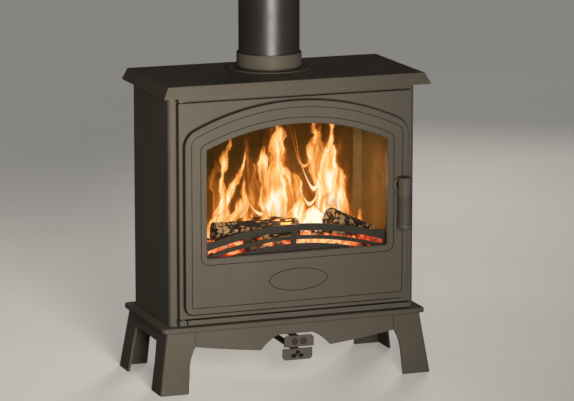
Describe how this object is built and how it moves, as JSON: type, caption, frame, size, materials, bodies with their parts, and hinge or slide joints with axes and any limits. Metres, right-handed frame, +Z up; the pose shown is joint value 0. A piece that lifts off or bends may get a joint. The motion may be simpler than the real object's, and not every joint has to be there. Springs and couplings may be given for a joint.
{
  "type": "wood burning stove",
  "caption": "Free-standing stove on splayed legs with an arched glass door, hinged and latched, pull-out air controls, log fence, fire bricks and a top flue pipe.",
  "frame": {"origin": "on the floor under the middle of the overall box", "axes": "+Z up, the door faces -Y, +X to the right of someone facing the door"},
  "size_m": [0.702, 0.3856, 1.014],
  "materials": {
    "stove_paint": "matt heat-resistant stove paint, fine grain",
    "flue_paint": "satin black stove paint",
    "inner_iron": "rough sooty casting",
    "zinc_steel": "dull plated",
    "spindle_steel": "dull machined",
    "firebrick": "porous light refractory",
    "firewood": "split logs with bark, partly charred",
    "embers": "glowing coals and ash",
    "stove_glass": "clear heat-resistant ceramic glass",
    "rope": "knitted glass-fibre rope",
    "grip_paint": "turned grip in matt stove paint",
    "tag_paint": "painted tag with raised pictogram"
  },
  "bodies": {
    "stove": {"leg_front_left": "stove_paint", "leg_front_right": "stove_paint", "leg_rear_left": "stove_paint", "leg_rear_right": "stove_paint", "leg_bolts": "zinc_steel", "apron_front": "stove_paint", "apron_rear": "stove_paint", "apron_left": "stove_paint", "apron_right": "stove_paint", "base_plate": "stove_paint", "body_floor": "stove_paint", "side_panel_left": "stove_paint", "side_panel_right": "stove_paint", "back_panel": "stove_paint", "rear_outlet_cover": "stove_paint", "rear_cover_bolts": "zinc_steel", "front_frame": "stove_paint", "bottom_rail": "stove_paint", "hinge_blocks": "stove_paint", "hinge_pins": "spindle_steel", "hinge_washers": "zinc_steel", "top_plate": "stove_paint", "flue_collar": "stove_paint", "flue_seal": "rope", "flue_pipe": "flue_paint", "grate_supports": "inner_iron", "grate": "inner_iron", "ash_pan": "inner_iron", "ash_pan_runners": "inner_iron", "firebrick_left": "firebrick", "firebrick_right": "firebrick", "firebrick_rear_left": "firebrick", "firebrick_rear_right": "firebrick", "baffle_plate": "firebrick", "airwash_deflector": "inner_iron", "ember_bed": "embers", "log_left": "firewood", "log_right": "firewood", "log_rear": "firewood", "log_fence": "inner_iron", "latch_keeper": "zinc_steel", "damper_guides": "stove_paint"},
    "door": {"door_casting": "stove_paint", "door_glass": "stove_glass", "glass_gasket": "rope", "glass_clips": "zinc_steel", "clip_pads": "rope", "clip_screws": "zinc_steel", "door_rope_seal": "rope"},
    "handle": {"handle_grip": "grip_paint", "handle_spindle": "spindle_steel", "spindle_collar": "spindle_steel", "latch_tongue": "zinc_steel", "spindle_nut": "zinc_steel"},
    "wood_control": {"wood_air_slide": "stove_paint", "wood_air_tag": "tag_paint"},
    "coal_control": {"coal_air_slide": "stove_paint", "coal_air_tag": "tag_paint"}
  },
  "joints": [
    {"name": "door_hinge", "type": "hinge", "parent": "stove", "child": "door", "pos_m": [-0.29, -0.12625, 0.446], "axis": [0, 0, -1], "range_deg": [0, 110]},
    {"name": "handle_turn", "type": "hinge", "parent": "door", "child": "handle", "pos_m": [0.265, -0.17675, 0.4795], "axis": [0, 1, 0], "range_deg": [-20, 80]},
    {"name": "wood_air", "type": "slide", "parent": "stove", "child": "wood_control", "axis": [0, -1, 0], "range_m": [-0.012, 0.033]},
    {"name": "coal_air", "type": "slide", "parent": "stove", "child": "coal_control", "axis": [0, -1, 0], "range_m": [0, 0.045]}
  ]
}
